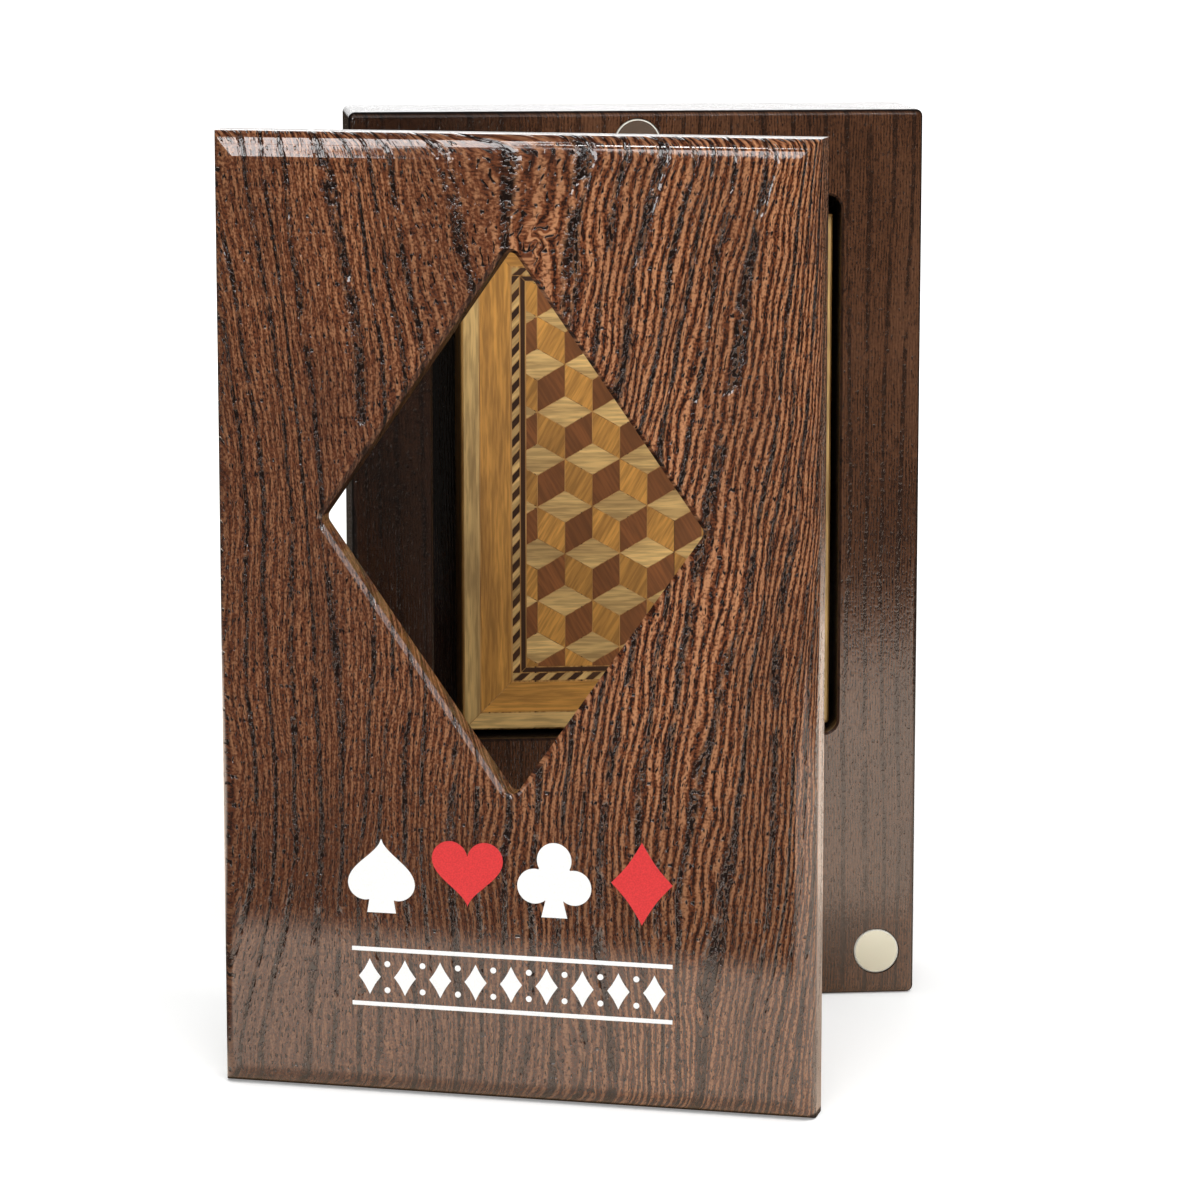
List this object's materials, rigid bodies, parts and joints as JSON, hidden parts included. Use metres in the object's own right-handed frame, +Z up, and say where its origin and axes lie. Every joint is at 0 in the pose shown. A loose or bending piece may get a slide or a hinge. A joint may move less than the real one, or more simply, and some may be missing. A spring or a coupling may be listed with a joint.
{
  "type": "playing card case",
  "caption": "Upright dark wooden case for a boxed deck of playing cards: a block with a pocket and a lift-off lid with a diamond window, held shut by magnets.",
  "frame": {"origin": "middle of the base block's foot, on the surface that the case stands on", "axes": "+Z up along the height of the case, -Y towards the front (the pocket's mouth and the lid), +X to the right seen from the front"},
  "size_m": [0.1236, 0.1062, 0.158],
  "materials": {
    "base_wood": "dark stained, gloss lacquer",
    "lid_wood": "dark stained open grain, gloss lacquer",
    "magnet_nickel": "nickel plate, fine satin",
    "tuck_box_board": "printed board, satin",
    "card_stock": "coated card"
  },
  "bodies": {
    "base": {"base_block": "base_wood", "base_magnet_top": "magnet_nickel", "base_magnet_left": "magnet_nickel", "base_magnet_right": "magnet_nickel"},
    "lid": {"lid_panel": "lid_wood", "lid_magnet_top": "magnet_nickel", "lid_magnet_left": "magnet_nickel", "lid_magnet_right": "magnet_nickel"},
    "deck": {"tuck_box": "tuck_box_board", "jokers": "card_stock", "cards_spades": "card_stock", "cards_diamonds": "card_stock", "cards_clubs": "card_stock", "cards_hearts": "card_stock"}
  },
  "joints": [
    {"name": "lid_swing", "type": "hinge", "parent": "base", "child": "lid", "pos_m": [-0.17798, 0.03039, 0], "axis": [0, 0, 1], "range_deg": [-70.4, 19.6]},
    {"name": "deck_slide", "type": "slide", "parent": "base", "child": "deck", "axis": [0, -1, 0], "range_m": [0, 0.0085]}
  ]
}
